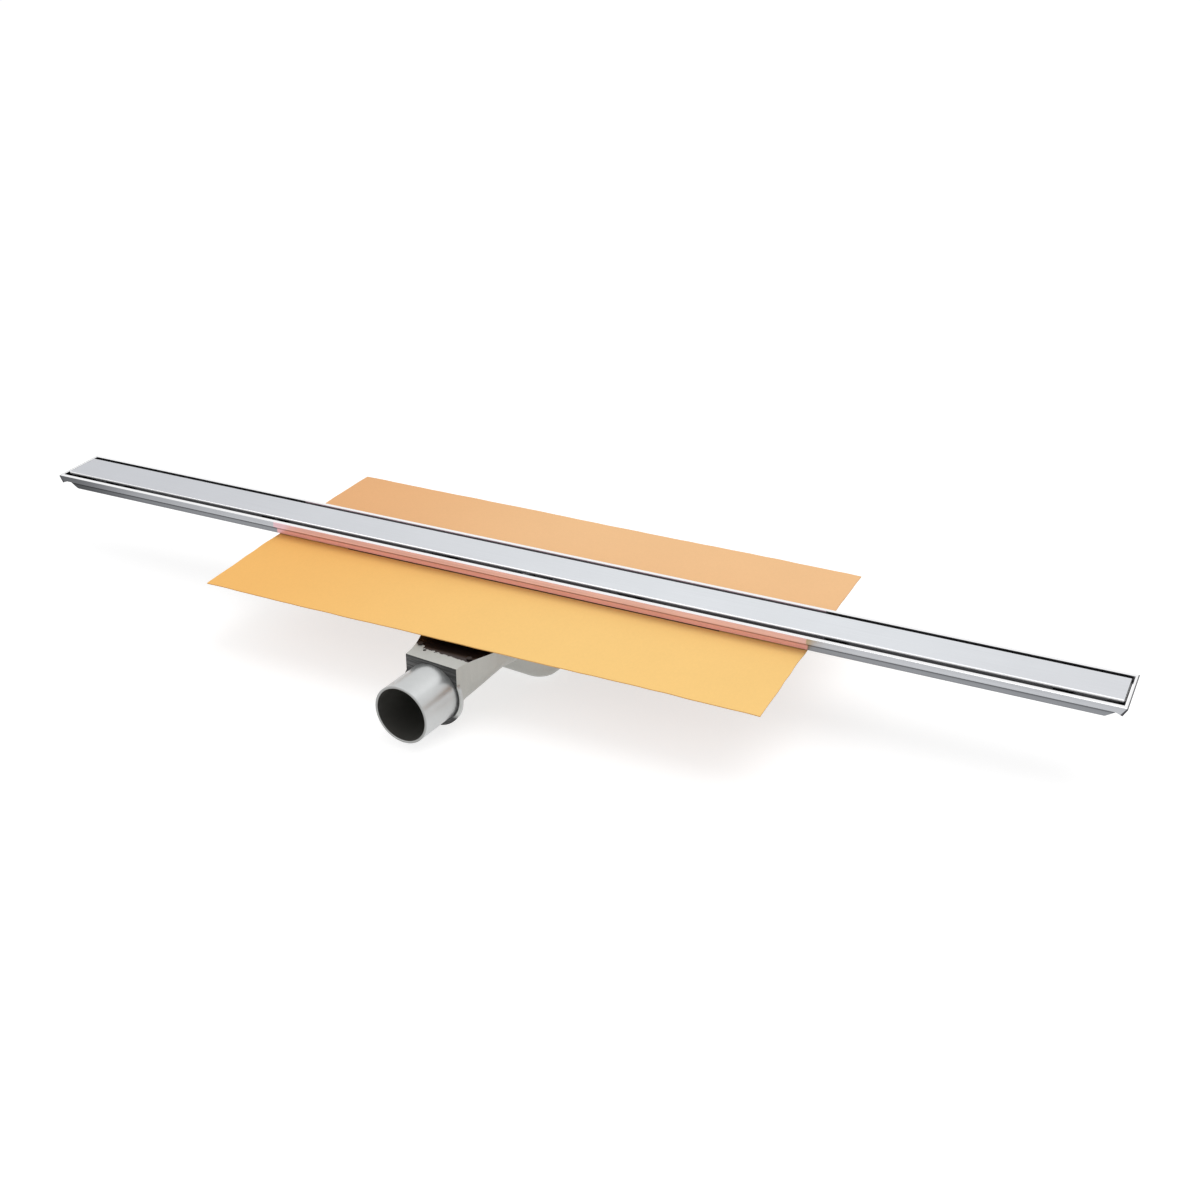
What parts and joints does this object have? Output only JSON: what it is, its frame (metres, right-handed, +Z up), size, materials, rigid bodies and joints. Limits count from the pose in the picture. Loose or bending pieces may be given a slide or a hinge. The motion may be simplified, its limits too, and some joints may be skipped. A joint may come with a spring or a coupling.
{
  "type": "linear shower drain",
  "caption": "Long shallow steel shower channel with a slotted-edge cover, rectangular sealing membrane and a low side-outlet trap that turns under it.",
  "frame": {"origin": "centre of the cover's top face, on the vertical axis of the outlet spout", "axes": "+X along the channel, +Y away from the outlet side, +Z up"},
  "size_m": [1, 0.3262, 0.0825],
  "materials": {
    "cover_steel": "satin brushed",
    "rim_steel": "bright polished",
    "tray_steel": "cold rolled, pickled",
    "membrane": "orange sealing sheet with fleece faces",
    "bonding": "butyl tape",
    "fastener_steel": "bright zinc-free steel",
    "trap_steel": "fine blasted satin",
    "insert_plastic": "moulded grey",
    "strainer_steel": "polished",
    "seal_rubber": "black rubber"
  },
  "bodies": {
    "channel": {"cover_plate": "cover_steel", "cover_feet": "tray_steel", "cover_foot_pads": "seal_rubber", "rim_frame": "rim_steel", "channel_tray": "tray_steel", "outlet_spout": "tray_steel", "bonding_tape": "bonding", "sealing_membrane": "membrane", "clamp_plate": "fastener_steel", "clamp_studs": "fastener_steel", "clamp_washers": "fastener_steel", "clamp_nuts": "fastener_steel", "odour_insert": "insert_plastic", "insert_ring": "seal_rubber", "hair_strainer": "strainer_steel", "strainer_bow": "strainer_steel"},
    "trap": {"trap_body": "trap_steel", "trap_lid": "trap_steel", "lid_screws": "fastener_steel", "lip_seal": "seal_rubber", "outlet_spigot": "trap_steel", "spigot_collar": "trap_steel"}
  },
  "joints": [
    {"name": "trap_swivel", "type": "hinge", "parent": "channel", "child": "trap", "pos_m": [0, 0, -0.0226], "axis": [0, 0, 1], "continuous": true}
  ]
}
